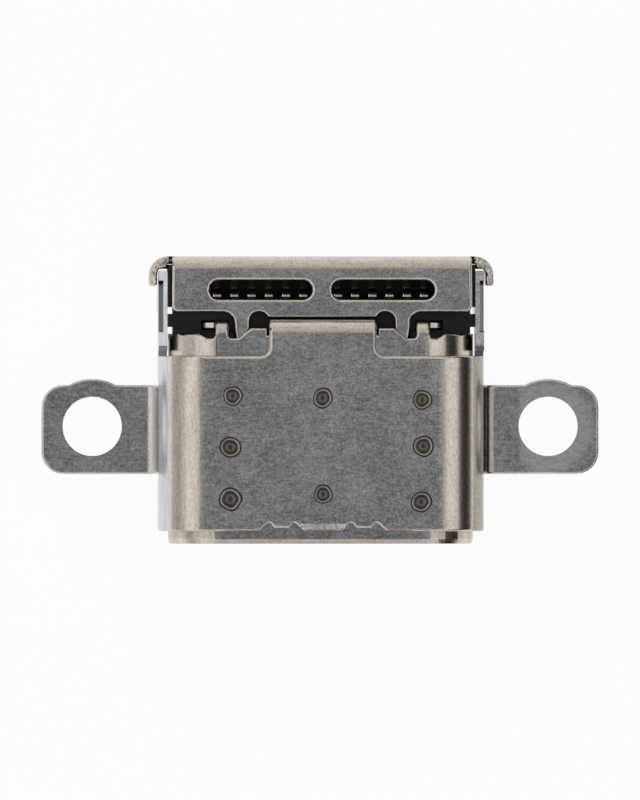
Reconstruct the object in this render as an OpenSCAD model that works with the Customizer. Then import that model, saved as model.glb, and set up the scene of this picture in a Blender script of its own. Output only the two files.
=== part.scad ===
// USB-C socket with a screw-down outer bracket, for a cut-out in a board's edge.
//
// Frame: the origin is the centre of the mouth opening, in the mouth's front plane.
// +X runs across the mouth, +Y into the socket and +Z up, away from the board.
// All sizes are in millimetres.

/* [Mouth tube] */
// Width of the mouth opening
mouth_w = 8.34; // [8.2:0.01:8.6]
// Height of the mouth opening
mouth_h = 2.56; // [2.45:0.01:2.75]
// Sheet thickness of the mouth tube
tube_t = 0.25; // [0.2:0.01:0.3]
// Length of the tube, from the front plane to its rear wings
tube_l = 6.07; // [5.95:0.01:6.2]
// How far the middle of the tube's roof runs on behind the wings
roof_extra = 0.16; // [0.12:0.01:0.2]
// Depth of the relief notches beside the tube's rear tabs
relief_d = 0.13; // [0.1:0.01:0.16]
// Width of the relief notch on the inner side of each tab
inner_relief_w = 0.28; // [0.22:0.01:0.34]
// Width of the slope from that notch to the middle of the roof
inner_slope_w = 0.37; // [0.25:0.01:0.42]
// Width of the relief notch on the outer side of each tab
outer_relief_w = 0.24; // [0.2:0.01:0.3]
// Width of the slope from that notch to the wing
outer_slope_w = 0.22; // [0.15:0.01:0.3]
// Radius in the corners of those notches
relief_r = 0.1; // [0.06:0.01:0.11]
// Radius of the tube's outer rear corners
wing_corner_r = 0.25; // [0.15:0.01:0.3]
// Length of each tab that stays flat behind the relief notches
tab_flat_l = 0.1; // [0.08:0.01:0.12]
// Width of each rear tab of the tube
tab_w = 0.38; // [0.32:0.01:0.45]
// Distance from the tube's side to the middle of each rear tab
tab_inset = 1.51; // [1.45:0.01:1.6]
// Outer radius of each rear tab's bend
tab_bend_r = 0.4; // [0.34:0.01:0.42]
// Width of the wing at the side of each tab's leg
tab_wing_w = 0.38; // [0.3:0.01:0.45]
// How far each wing's root lies below the tab's bend
tab_wing_drop = 0.16; // [0.12:0.01:0.2]
// How much each wing's top falls towards its end
tab_wing_slope = 0.12; // [0.05:0.01:0.15]
// Gap between the foot of each tab's leg and the top of the contact tongue
tab_foot_gap = 0.06; // [0.03:0.01:0.1]
// Width of the seam along the tube's underside
seam_w = 0.05; // [0.03:0.01:0.08]
// Depth of the seam along the tube's underside
seam_d = 0.1; // [0.05:0.01:0.15]

/* [Outer bracket] */
// Sheet thickness of the bracket
bracket_t = 0.25; // [0.2:0.01:0.3]
// Gap between the tube's side and the bracket's side wall
side_gap = 0.04; // [0.03:0.01:0.1]
// Outer radius of the bracket's two shoulders
shoulder_r = 1.35; // [1.2:0.01:1.4]
// How far the bracket's front edge lies behind the mouth
bracket_front = 0.36; // [0.2:0.01:0.5]
// How far the bracket's rear edge lies in front of the tube's rear wings
bracket_inset = 0.64; // [0.55:0.01:0.72]
// Width of the tongue at the bracket's rear
tongue_w = 3.1; // [2.9:0.01:3.2]
// Radius in the corner between the tongue and the rear edge
tongue_root_r = 0.26; // [0.15:0.01:0.3]
// Outer radius of the lip that turns down at the tongue's end
lip_r = 0.43; // [0.38:0.01:0.46]
// Distance between the two carrier stubs in the front edge
stub_spacing = 2.38; // [2.2:0.01:2.6]
// Width of each carrier stub
stub_w = 0.46; // [0.4:0.01:0.5]
// Depth of the notches beside each carrier stub
stub_notch_d = 0.23; // [0.15:0.01:0.25]
// Width of the bottom of the notch on each side of a stub
stub_valley_w = 0.17; // [0.12:0.01:0.2]
// Width of the slope from that notch to the front edge
stub_slope_w = 0.25; // [0.15:0.01:0.3]
// How far each stub's end lies behind the front edge
stub_set_back = 0.1; // [0.05:0.01:0.12]
// Gap between the rear end of each side wall and the inside of the rear cover
wall_end_gap = 0.19; // [0.15:0.01:0.25]
// How far the top of each side wall lies below the cover's plate
wall_top_drop = 0.3; // [0.22:0.01:0.4]
// Length of the relief cut between each shoulder and the wall behind it
wall_relief_l = 0.15; // [0.1:0.01:0.2]
// Depth of that relief cut, below the top of the wall
wall_relief_d = 0.45; // [0.3:0.01:0.5]
// Width of the bevel along the outer top edge of each wall
bevel_w = 0.13; // [0.08:0.01:0.16]
// Height of that bevel
bevel_h = 0.3; // [0.2:0.01:0.35]
// Length of that bevel
bevel_l = 1.45; // [1.2:0.01:1.5]
// How far that bevel starts behind the tube's rear wings
bevel_inset = 0.08; // [0.05:0.01:0.15]
// Length of the solder leg under each side wall
leg_l = 0.9; // [0.7:0.01:1.1]
// How far each solder leg lies in front of the side wall's rear end
leg_inset = 0.4; // [0.3:0.01:0.6]
// How far each solder leg goes through the board, below the ears
leg_drop = 0.75; // [0.6:0.01:0.9]

/* [Screw ears] */
// Distance between the two screw holes
hole_spacing = 13.22; // [13:0.01:13.5]
// Diameter of each screw hole
hole_d = 1.72; // [1.6:0.01:1.9]
// Distance from the mouth to the line of the screw holes
hole_y = 3.39; // [3.3:0.01:3.5]
// Metal outside each hole, towards the ear's end
ear_end_rim = 0.61; // [0.5:0.01:0.8]
// Metal in front of each hole
ear_front_rim = 0.52; // [0.4:0.01:0.65]
// Metal behind each hole, beside the round swelling
ear_rear_rim = 0.34; // [0.3:0.01:0.45]
// Radius of each ear's outer corners
ear_corner_r = 0.64; // [0.4:0.01:0.7]
// Metal behind each hole, at the round swelling
ear_boss_rim = 0.52; // [0.46:0.01:0.6]
// Top face of the ears, below the middle of the mouth
ear_drop = 0.15; // [0.1:0.01:0.25]
// Inner radius of the bend from each side wall to its ear
ear_bend_r = 0.34; // [0.3:0.01:0.4]
// Width of the relief cuts in the side wall, in front of each ear and behind it
ear_relief_w = 0.08; // [0.05:0.01:0.12]

/* [Weld spots] */
// Diameter of each weld spot
weld_d = 0.62; // [0.5:0.01:0.7]
// Depth of the ring pressed round each weld spot
weld_depth = 0.03; // [0.02:0.01:0.05]
// Distance across the mouth between the columns of weld spots
weld_column_gap = 2.76; // [2.6:0.01:2.85]
// Distance from the bracket's front edge to the first row of weld spots
weld_first_row = 0.94; // [0.85:0.01:1.1]
// Distance between the rows of weld spots
weld_row_gap = 1.46; // [1.35:0.01:1.5]

/* [Rear cover] */
// Sheet thickness of the rear cover
cover_t = 0.22; // [0.18:0.01:0.25]
// Gap between each side of the cover's plate and the bracket's side wall
plate_side_gap = 0.12; // [0.08:0.01:0.16]
// Length of the opening between the tube's roof and the plate's front edge, at the sides
plate_front_gap = 0.475; // [0.45:0.005:0.5]
// Length of the cover, from the plate's front edge to the rear wall's outer face
cover_l = 1.605; // [1.58:0.005:1.7]
// Outer radius of the bend from the plate to the rear wall
cover_bend_r = 0.4; // [0.3:0.01:0.45]
// Radius of the plate's two front corners
cover_corner_r = 0.18; // [0.1:0.01:0.25]
// Gap between the tongue's lip and the plate
lip_gap = 0.05; // [0.02:0.01:0.08]
// Gap between the cover's front legs and the roof of the mouth tube
roof_gap = 0.01; // [0.005:0.005:0.03]
// Width of the round notch between the bracket's tongue and each front leg
leg_notch_w = 0.55; // [0.5:0.01:0.6]
// Width of each front leg at its root
front_leg_w = 0.44; // [0.4:0.01:0.46]
// Width of each front leg at its tip
front_leg_tip_w = 0.19; // [0.15:0.01:0.25]
// How far the tips of the front legs reach under the tube's relief notches
front_leg_tuck = 0.12; // [0.06:0.01:0.15]
// Radius of the fillet outside each front leg
front_leg_fillet = 0.33; // [0.2:0.01:0.4]
// Length of each window
window_l = 2.94; // [2.7:0.01:3]
// Width of each window
window_w = 0.54; // [0.5:0.01:0.62]
// Width of the bar between the two windows
window_bar_w = 0.6; // [0.5:0.01:0.8]
// Distance from the rear wall's outer face to the middle of the windows
window_inset = 0.97; // [0.9:0.01:1]
// Gap between each side hook and the bracket's side wall
hook_gap = 0.05; // [0.04:0.01:0.08]
// Gap between the rear end of each side wall and the stop inside the hook's bend
stop_gap = 0.05; // [0.04:0.01:0.08]
// Length of each side hook, from the rear wall's outer face forwards
hook_l = 0.85; // [0.75:0.01:1]
// Top of the side hooks, over the middle of the mouth
hook_top = 0.8; // [0.7:0.01:0.84]
// Outer radius of the bend from the rear wall to each hook
hook_bend_r = 0.55; // [0.5:0.01:0.6]
// Width of the slit between the plate and each hook
slit_w = 0.05; // [0.03:0.01:0.07]
// Depth of that slit, below the top of the hooks
slit_d = 0.3; // [0.2:0.01:0.4]

/* [Tongue and contacts] */
// Plastic between the outermost contact and the rail beside it
row_margin = 0.17; // [0.12:0.01:0.2]
// Thickness of the contact tongue
blade_t = 0.7; // [0.65:0.01:0.75]
// Distance from the mouth to the tip of the contact tongue
blade_tip = 1.2; // [1:0.01:1.4]
// Length of the plastic lip at the tip
blade_lip_l = 0.2; // [0.15:0.01:0.25]
// Width of the plastic rails along the tongue's sides
rail_w = 0.3; // [0.25:0.01:0.35]
// Length of the thick root in front of the housing
root_l = 1.15; // [1:0.01:1.3]
// How much the root stands out on each side of the tongue
root_step_w = 0.105; // [0.05:0.005:0.15]
// Thickness of the root
root_t = 1.3; // [1.2:0.01:1.4]
// Thickness of the ground pads on the root
pad_t = 0.1; // [0.08:0.01:0.12]
// Thickness of the steel plate in the middle of the tongue
mid_plate_t = 0.15; // [0.12:0.01:0.18]
// Distance from the mouth to the latch notch in the tongue's sides
latch_front = 2.85; // [2.7:0.01:3]
// Length of the latch notch
latch_l = 0.9; // [0.7:0.01:1]
// Depth of the latch notch
latch_d = 0.22; // [0.15:0.01:0.25]
// How far the steel plate stands out of the plastic in the latch notch
latch_cover_w = 0.06; // [0.04:0.01:0.08]
// Contacts in each row
contacts = 12; // [8:2:12]
// Distance between neighbouring contacts
contact_pitch = 0.5; // [0.48:0.01:0.52]
// Width of each contact
contact_w = 0.25; // [0.2:0.01:0.3]
// Thickness of each contact
contact_t = 0.12; // [0.1:0.01:0.14]
// How far the first-mating contacts start behind the plastic lip
contact_start = 0.08; // [0.05:0.01:0.15]
// How much later the other contacts start
late_start = 0.5; // [0.3:0.01:0.6]
// Width of each contact's tail
tail_w = 0.2; // [0.16:0.01:0.22]
// How far the upper tails spread outwards
tail_shift_w = 0.25; // [0.2:0.01:0.3]
// Length over which the upper tails spread outwards
fan_out_l = 0.3; // [0.25:0.01:0.35]
// Length of the small step from the lower contacts to their feet
step_l = 0.1; // [0.08:0.01:0.15]
// Length of the feet of the contacts
foot_l = 0.5; // [0.4:0.01:0.55]

/* [Housing] */
// How far the housing reaches into the tube, past the rear wings
plug_l = 0.32; // [0.24:0.01:0.36]
// Gap between the housing and the sheet metal round it
fit_gap = 0.02; // [0.01:0.005:0.03]
// Gap between the board and what ends just above it
board_gap = 0.02; // [0.01:0.005:0.04]
// How far the upper contact block runs on behind the tube
upper_block_l = 0.68; // [0.63:0.01:0.75]
// How far the lower contact block runs on behind the tube
lower_block_l = 0.38; // [0.33:0.01:0.43]
// Top of the floor below the upper tails, below the middle of the mouth
floor_drop = 0.1; // [0.05:0.01:0.15]
// Depth of the gaps in the housing's sides
side_pocket_d = 0.15; // [0.1:0.01:0.2]
// Length of the front gap in each side
front_pocket_l = 0.2; // [0.15:0.01:0.25]
// Length of the rear gap in each side
rear_pocket_l = 0.2; // [0.15:0.01:0.25]

/* [Hidden] */
$fn = 64;
arc_steps = 6;
// Overshoot of cuts past the faces that they go through
cut = 0.1;
// Overlap of the stretches of one piece where they join
lap = 0.02;
// Radii of a stamping's small and wide corners
small_r = 0.08;
wide_r = 0.2;

steel_colour = [0.66, 0.65, 0.62];
plate_colour = [0.56, 0.56, 0.56];
plastic_colour = [0.08, 0.08, 0.08];
contact_colour = [0.83, 0.68, 0.36];

// Mouth tube
tube_w = mouth_w + 2 * tube_t;
tube_h = mouth_h + 2 * tube_t;
tube_top = tube_h / 2;
roof_rear = tube_l + roof_extra;
tab_x = tube_w / 2 - tab_inset;
tab_in = tab_x - tab_w / 2;
tab_out = tab_x + tab_w / 2;
relief_y = tube_l - relief_d;
tab_bend_y = relief_y + tab_flat_l;
tab_rear = tab_bend_y + tab_bend_r;
tab_bend_z = tube_top - tab_bend_r;
tab_foot_z = blade_t / 2 + tab_foot_gap;

// Outer bracket
bracket_rear = tube_l - bracket_inset;
wall_in = tube_w / 2 + side_gap;
wall_out = wall_in + bracket_t;
bracket_top = tube_top + bracket_t;
shoulder_x = wall_out - shoulder_r;
shoulder_z = bracket_top - shoulder_r;
ear_top = -ear_drop;
board_z = ear_top - bracket_t;
lip_rear = roof_rear + bracket_t;
lip_flat_end = lip_rear - lip_r;
bevel_front = tube_l + bevel_inset;
bevel_rear = bevel_front + bevel_l;

// Screw ears
hole_x = hole_spacing / 2;
ear_end = hole_x + hole_d / 2 + ear_end_rim;
ear_front = hole_y - hole_d / 2 - ear_front_rim;
ear_rear = hole_y + hole_d / 2 + ear_rear_rim;
ear_boss_r = hole_d / 2 + ear_boss_rim;

// Rear cover
cover_w = 2 * (wall_in - plate_side_gap);
cover_front = roof_rear + plate_front_gap;
cover_rear = cover_front + cover_l;
cover_top = mouth_h / 2 - roof_gap;
cover_under = cover_top - cover_t;
cover_bottom = board_z + board_gap;
middle_front = lip_rear + lip_gap;
front_leg_in = tongue_w / 2 + leg_notch_w;
front_leg_out = front_leg_in + front_leg_w;
window_y = cover_rear - window_inset;
window_x = (window_bar_w + window_l) / 2;
hook_in = wall_out + hook_gap;
hook_out = hook_in + cover_t;
hook_bend_x = hook_out - hook_bend_r;
hook_bend_y = cover_rear - hook_bend_r;
wall_rear = cover_rear - cover_t - wall_end_gap;
wall_top = cover_under - wall_top_drop;

// Tongue and contacts
blade_side = (contacts - 1) * contact_pitch / 2 + contact_w / 2 + row_margin;
blade_w = 2 * (blade_side + rail_w);
blade_z = blade_t / 2;
lip_end = blade_tip + blade_lip_l;
contact_z = blade_z - contact_t;
foot_top = board_z + contact_t;
tail_y = window_y;
root_w = blade_w + 2 * root_step_w;
first_mating = [0, 3, contacts - 4, contacts - 1];

// Housing
cavity_d = tube_l - plug_l;
root_front = cavity_d - root_l;
upper_block_rear = tube_l + upper_block_l;
lower_block_rear = tube_l + lower_block_l;
housing_rear = cover_rear - cover_t - fit_gap;
housing_side = wall_in - fit_gap;
housing_bottom = board_z + board_gap;
floor_top = -floor_drop;
tail_room_w = (contacts - 1) * contact_pitch + 2 * tail_shift_w + 1.2 * contact_pitch;

// ---- Outlines and sheet sections -------------------------------------------------------

function unit(v) = v / norm(v);

function flat(corner) = [corner[0], corner[1]];

function turned(v, angle) =
    [v[0] * cos(angle) - v[1] * sin(angle), v[0] * sin(angle) + v[1] * cos(angle)];

// The arc that rounds one corner [x, y, radius] between its two neighbours
function corner_arc(before, corner, after) =
    let (
        point = flat(corner),
        radius = corner[2],
        a = unit(flat(before) - point),
        b = unit(flat(after) - point),
        half = acos(a * b) / 2,
        centre = point + unit(a + b) * radius / sin(half),
        first = point + a * radius / tan(half) - centre,
        last = point + b * radius / tan(half) - centre,
        turn = sign(first[0] * last[1] - first[1] * last[0]) * (180 - 2 * half)
    )
    radius == 0
        ? [point]
        : [for (i = [0 : arc_steps]) centre + turned(first, turn * i / arc_steps)];

// An outline from a ring of corners [x, y, radius]
function rounded(corners) =
    let (n = len(corners))
    [for (i = [0 : n - 1]) each corner_arc(corners[(i + n - 1) % n], corners[i], corners[(i + 1) % n])];

// The right half of an outline, joined to its mirror image
function both_halves(half) =
    concat(half, [for (i = [len(half) - 1 : -1 : 0]) [-half[i][0], half[i][1], half[i][2]]]);

// An outline seen from above, between two heights
module plan(corners, z0, z1) {
    translate([0, 0, z0]) linear_extrude(z1 - z0) polygon(rounded(corners));
}

// A section drawn in X and Z, carried along Y
module along_y(y0, y1) {
    translate([0, y1, 0]) rotate([90, 0, 0]) linear_extrude(y1 - y0) children();
}

// A section drawn in Y and Z, carried along X
module along_x(x0, x1) {
    translate([x0, 0, 0]) rotate([90, 0, 90]) linear_extrude(x1 - x0) children();
}

// A box from its lowest to its highest corner
module block(low, high) {
    translate(low) cube(high - low);
}

// A box and its mirror image on the other side of the socket
module both_sides(low, high) {
    for (side = [0, 1]) mirror([side, 0, 0]) block(low, high);
}

// A quarter of a ring of bent sheet round the origin, from the given angle, with a short
// straight lap at each end
module bend(inner_r, t, from) {
    rotate(from) {
        intersection() {
            difference() {
                circle(r = inner_r + t);
                circle(r = inner_r);
            }
            square(2 * (inner_r + t));
        }
        translate([inner_r, -lap]) square([t, lap]);
        translate([-lap, inner_r]) square([lap, t]);
    }
}

// A slot with round ends, centred on the origin
module round_slot(w, h) {
    square([w - h, h], center = true);
    for (side = [-1, 1]) translate([side * (w - h) / 2, 0]) circle(d = h);
}

// ---- Mouth tube ------------------------------------------------------------------------

// The roof's rear edge: a middle that runs on, then two tabs between relief notches
module roof_outline() {
    plan(both_halves([
        [tongue_w / 2 + side_gap, lip_flat_end - fit_gap, 0],
        [tongue_w / 2 + side_gap, roof_rear, 0],
        [tab_in - inner_relief_w - inner_slope_w, roof_rear, small_r],
        [tab_in - inner_relief_w, relief_y, relief_r],
        [tab_in, relief_y, relief_r],
        [tab_in, tab_bend_y, 0],
        [tab_out, tab_bend_y, 0],
        [tab_out, relief_y, relief_r],
        [tab_out + outer_relief_w, relief_y, relief_r],
        [tab_out + outer_relief_w + outer_slope_w, tube_l, wide_r],
        [tube_w / 2, tube_l, wing_corner_r],
        [tube_w / 2, -cut, 0]
    ]), 0, tube_h);
}

// A tab that bends down behind the roof, with a leg and a wing that hold the housing
module tube_tab() {
    along_x(tab_in, tab_out) translate([tab_bend_y, tab_bend_z]) bend(tab_bend_r - tube_t, tube_t, 0);
    along_y(tab_rear - tube_t, tab_rear) polygon(rounded([
        [tab_in, tab_bend_z, 0],
        [tab_in, tab_foot_z, small_r],
        [tab_out + tab_wing_w, tab_foot_z, small_r],
        [tab_out + tab_wing_w, tab_bend_z - tab_wing_drop - tab_wing_slope, small_r],
        [tab_out, tab_bend_z - tab_wing_drop, small_r],
        [tab_out, tab_bend_z, 0]
    ]));
}

module inner_shell() {
    color(steel_colour) {
        difference() {
            intersection() {
                along_y(0, roof_rear) difference() {
                    round_slot(tube_w, tube_h);
                    round_slot(mouth_w, mouth_h);
                }
                union() {
                    roof_outline();
                    block([-tube_w, 0, -tube_h], [tube_w, tube_l, 0]);
                }
            }
            block([-seam_w / 2, -cut, -tube_h], [seam_w / 2, tube_l + cut, seam_d - tube_top]);
        }
        for (side = [0, 1]) mirror([side, 0, 0]) tube_tab();
    }
}

// ---- Outer bracket ---------------------------------------------------------------------

// The hat-shaped section: flat top, round shoulders and side walls
module bracket_section() {
    translate([-shoulder_x, tube_top]) square([2 * shoulder_x, bracket_t]);
    for (side = [0, 1]) mirror([side, 0]) {
        translate([shoulder_x, shoulder_z]) bend(shoulder_r - bracket_t, bracket_t, 0);
        translate([wall_in, board_z]) square([bracket_t, shoulder_z - board_z]);
    }
}

// The cut-out that leaves one carrier stub in the front edge
module stub_notch() {
    plan(both_halves([
        [stub_w / 2 + stub_valley_w + stub_slope_w, -cut, 0],
        [stub_w / 2 + stub_valley_w + stub_slope_w, 0, small_r],
        [stub_w / 2 + stub_valley_w, stub_notch_d, small_r],
        [stub_w / 2 + 0.6 * stub_valley_w, stub_notch_d, 0],
        [stub_w / 2, stub_set_back, small_r]
    ]), tube_top - cut, bracket_top + cut);
}

// The tongue that holds the rear cover's front edge, with its lip turned down
module bracket_tongue() {
    plan(both_halves([
        [tongue_w / 2, lip_flat_end, 0],
        [tongue_w / 2, bracket_rear, tongue_root_r],
        [tongue_w / 2 + 2 * tongue_root_r, bracket_rear, 0],
        [tongue_w / 2 + 2 * tongue_root_r, bracket_rear - tongue_root_r, 0]
    ]), tube_top, bracket_top);
    along_x(-tongue_w / 2, tongue_w / 2) {
        translate([lip_flat_end, bracket_top - lip_r]) bend(lip_r - bracket_t, bracket_t, 0);
        translate([lip_rear - bracket_t, cover_under]) square([bracket_t, bracket_top - lip_r - cover_under]);
    }
}

// A side wall behind the shoulder, with its bevel, its relief cut and its solder leg
module rear_wall_of_bracket() {
    leg_rear = wall_rear - leg_inset;
    leg_front = leg_rear - leg_l;
    difference() {
        block([wall_in, bracket_rear - lap, board_z], [wall_out, wall_rear, wall_top]);
        block([wall_in - cut, bracket_rear - 2 * lap, wall_top - wall_relief_d],
              [wall_out + cut, bracket_rear + wall_relief_l, wall_top + cut]);
        along_y(bevel_front, bevel_rear) polygon([
            [wall_out - bevel_w, wall_top + cut], [wall_out - bevel_w, wall_top],
            [wall_out, wall_top - bevel_h], [wall_out + cut, wall_top - bevel_h],
            [wall_out + cut, wall_top + cut]
        ]);
    }
    along_x(wall_in, wall_out) polygon(rounded([
        [leg_front, board_z + lap, 0],
        [leg_rear, board_z + lap, 0],
        [leg_rear, board_z - 0.7 * leg_drop, 0],
        [leg_rear - 0.2 * leg_l, board_z - leg_drop, small_r],
        [leg_front + 0.2 * leg_l, board_z - leg_drop, small_r],
        [leg_front, board_z - 0.7 * leg_drop, 0]
    ]));
}

// An ear: the bend out of the side wall, the flat plate and the swelling behind the hole
module ear() {
    intersection() {
        along_y(0, ear_rear + ear_boss_r) {
            translate([wall_out + ear_bend_r, ear_top + ear_bend_r]) bend(ear_bend_r, bracket_t, 180);
            translate([wall_out + ear_bend_r, board_z])
                square([ear_end - wall_out - ear_bend_r, bracket_t]);
        }
        union() {
            plan([
                [wall_in - bracket_t, ear_front, 0],
                [ear_end, ear_front, ear_corner_r],
                [ear_end, ear_rear, ear_corner_r],
                [wall_in - bracket_t, ear_rear, 0]
            ], board_z - cut, tube_top);
            intersection() {
                translate([hole_x, hole_y, board_z - cut]) cylinder(r = ear_boss_r, h = tube_top);
                block([0, hole_y, board_z - cut], [ear_end, hole_y + 2 * ear_boss_r, tube_top]);
            }
        }
    }
}

// The ring and the pit that a spot weld leaves in the top plate
module weld_mark() {
    translate([0, 0, bracket_top - weld_depth]) {
        difference() {
            cylinder(d = weld_d, h = weld_depth + cut);
            translate([0, 0, -cut]) cylinder(d = 0.8 * weld_d, h = weld_depth + 3 * cut);
        }
        cylinder(d = 0.3 * weld_d, h = weld_depth + cut);
    }
}

// Three rows of weld spots, with none in the very middle
module weld_marks() {
    for (column = [-1 : 1], row = [0 : 2])
        if (column != 0 || row != 1)
            translate([column * weld_column_gap, bracket_front + weld_first_row + row * weld_row_gap, 0])
                weld_mark();
}

module outer_bracket() {
    color(plate_colour) difference() {
        union() {
            difference() {
                along_y(bracket_front, bracket_rear) bracket_section();
                both_sides([wall_in - cut, ear_front - ear_relief_w, board_z - cut],
                           [wall_out + cut, ear_rear + ear_relief_w, ear_top + ear_bend_r]);
            }
            bracket_tongue();
            for (side = [0, 1]) mirror([side, 0, 0]) {
                rear_wall_of_bracket();
                ear();
            }
        }
        for (side = [-1, 1]) {
            translate([side * stub_spacing / 2, bracket_front, 0]) stub_notch();
            translate([side * hole_x, hole_y, board_z - cut])
                cylinder(d = hole_d, h = bracket_t + 2 * cut);
        }
        weld_marks();
    }
}

// ---- Rear cover ------------------------------------------------------------------------

// The top plate with its two front legs, and two windows over the contact tails
module cover_plate() {
    tip_y = relief_y - front_leg_tuck;
    tip_out = front_leg_out - (front_leg_w - front_leg_tip_w) / 4;
    notch_r = leg_notch_w / 2;
    difference() {
        plan(both_halves([
            [tongue_w / 2 + notch_r, middle_front, 0],
            [tongue_w / 2 + notch_r, roof_rear, 0],
            [front_leg_in, roof_rear, 0],
            [tip_out - front_leg_tip_w, tip_y, small_r],
            [tip_out, tip_y, small_r],
            [front_leg_out, roof_rear, small_r],
            [front_leg_out, cover_front, front_leg_fillet],
            [cover_w / 2, cover_front, cover_corner_r],
            [cover_w / 2, cover_rear - cover_bend_r, 0]
        ]), cover_under, cover_top);
        for (side = [-1, 1]) {
            translate([side * (tongue_w / 2 + notch_r), cover_front - notch_r, cover_under - cut]) {
                cylinder(r = notch_r, h = cover_t + 2 * cut);
                translate([-notch_r, -notch_r, 0]) cube([2 * notch_r, notch_r, cover_t + 2 * cut]);
            }
            translate([side * window_x, window_y, cover_under - cut])
                linear_extrude(cover_t + 2 * cut) round_slot(window_l, window_w);
        }
    }
}

// A hook that runs round the rear end of the bracket's side wall, with a stop behind that wall
module side_hook() {
    translate([hook_bend_x, hook_bend_y, cover_bottom])
        linear_extrude(hook_top - cover_bottom) bend(hook_bend_r - cover_t, cover_t, 0);
    block([cover_w / 2 - lap, cover_rear - cover_t, cover_bottom], [hook_bend_x, cover_rear, hook_top]);
    block([hook_in, cover_rear - hook_l, cover_bottom], [hook_out, hook_bend_y, hook_top]);
    block([wall_in, wall_rear + stop_gap, cover_bottom],
          [hook_in + lap, cover_rear - cover_t + lap, hook_top]);
}

module rear_cover() {
    color(plate_colour) difference() {
        union() {
            cover_plate();
            along_x(-cover_w / 2, cover_w / 2) {
                translate([cover_rear - cover_bend_r, cover_top - cover_bend_r])
                    bend(cover_bend_r - cover_t, cover_t, 0);
                translate([cover_rear - cover_t, cover_bottom])
                    square([cover_t, cover_top - cover_bend_r - cover_bottom]);
            }
            for (side = [0, 1]) mirror([side, 0, 0]) side_hook();
        }
        both_sides([cover_w / 2, cover_rear - cover_t - cut, hook_top - slit_d],
                   [cover_w / 2 + slit_w, cover_rear + cut, hook_top + cut]);
    }
}

// ---- Contacts --------------------------------------------------------------------------

// Place of one contact across the tongue, counted from 0
function contact_x(i) = (i - (contacts - 1) / 2) * contact_pitch;

// Place of one upper tail, spread away from the middle
function tail_x(i) = contact_x(i) + sign(contact_x(i)) * tail_shift_w;

// Distance from the mouth to the front end of one contact
function contact_front(i) =
    lip_end + contact_start + (len(search(i, first_mating)) > 0 ? 0 : late_start);

// An upper contact: along the tongue, spread to its tail, down to the board and back
module upper_contact(i) {
    x = contact_x(i);
    tail = tail_x(i);
    foot_rear = tail_y + foot_l;
    fan_end = upper_block_rear + fan_out_l;
    color(contact_colour) intersection() {
        along_x(x - contact_pitch, x + contact_pitch) polygon(rounded([
            [contact_front(i), blade_z, 0],
            [tail_y, blade_z, 1.6 * contact_t],
            [tail_y, foot_top, 0.6 * contact_t],
            [foot_rear, foot_top, 0],
            [foot_rear, board_z, 0],
            [tail_y - contact_t, board_z, 1.6 * contact_t],
            [tail_y - contact_t, contact_z, 0.6 * contact_t],
            [contact_front(i), contact_z, 0]
        ]));
        translate([0, 0, -tube_top]) linear_extrude(tube_h) polygon([
            [x - contact_w / 2, 0],
            [x + contact_w / 2, 0],
            [x + contact_w / 2, upper_block_rear],
            [tail + tail_w / 2, fan_end],
            [tail + tail_w / 2, foot_rear],
            [tail - tail_w / 2, foot_rear],
            [tail - tail_w / 2, fan_end],
            [x - contact_w / 2, upper_block_rear]
        ]);
    }
}

// A lower contact: along the tongue and straight back, with a small step to the board
module lower_contact(i) {
    x = contact_x(i);
    foot_front = lower_block_rear + step_l;
    color(contact_colour) {
        along_x(x - contact_w / 2, x + contact_w / 2) polygon([
            [contact_front(i), -contact_z],
            [lower_block_rear, -contact_z],
            [lower_block_rear, -blade_z],
            [contact_front(i), -blade_z]
        ]);
        along_x(x - tail_w / 2, x + tail_w / 2) polygon([
            [lower_block_rear - lap, -contact_z],
            [lower_block_rear, -contact_z],
            [foot_front, foot_top],
            [foot_front + foot_l - step_l, foot_top],
            [foot_front + foot_l - step_l, board_z],
            [foot_front, board_z],
            [lower_block_rear, -blade_z],
            [lower_block_rear - lap, -blade_z]
        ]);
    }
}

// The room that the contacts of one row take inside their block
module contact_channels(block_rear) {
    for (i = [0 : contacts - 1])
        block([contact_x(i) - contact_w / 2, contact_front(i), contact_z],
              [contact_x(i) + contact_w / 2, block_rear + cut, blade_z]);
}

// ---- Contact tongue --------------------------------------------------------------------

// A block moulded round one row of contacts, drawn for the upper row
module contact_block(block_rear) {
    color(plastic_colour) difference() {
        union() {
            block([-blade_side, lip_end, mid_plate_t / 2], [blade_side, block_rear, blade_z]);
            block([-root_w / 2, root_front, mid_plate_t / 2], [root_w / 2, tube_l, root_t / 2]);
        }
        contact_channels(block_rear);
    }
}

module upper_contact_block() {
    contact_block(upper_block_rear);
}

module lower_contact_block() {
    mirror([0, 0, 1]) contact_block(lower_block_rear);
}

// The plastic lip and the side rails of the tongue, moulded round the steel plate
module tongue_frame() {
    side = blade_w / 2;
    color(plastic_colour) difference() {
        plan(both_halves([
            [blade_side, root_front, 0],
            [side, root_front, 0],
            [side, latch_front + latch_l, 0],
            [side - latch_d, latch_front + latch_l, small_r],
            [side - latch_d, latch_front, small_r],
            [side, latch_front, 0],
            [side, blade_tip, wide_r]
        ]), -blade_z, blade_z);
        block([-blade_side, lip_end, -blade_t], [blade_side, root_front + cut, blade_t]);
        block([-side - cut, lip_end, -mid_plate_t / 2], [side + cut, root_front + cut, mid_plate_t / 2]);
    }
}

// The steel plate between the two rows, with a latch notch in each side
module mid_plate() {
    side = blade_w / 2;
    notch = latch_d - latch_cover_w;
    color(steel_colour) plan(both_halves([
        [side, lip_end, 0],
        [side, latch_front, 0],
        [side - notch, latch_front, small_r],
        [side - notch, latch_front + latch_l, small_r],
        [side, latch_front + latch_l, 0],
        [side, tube_l, 0]
    ]), -mid_plate_t / 2, mid_plate_t / 2);
}

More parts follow.
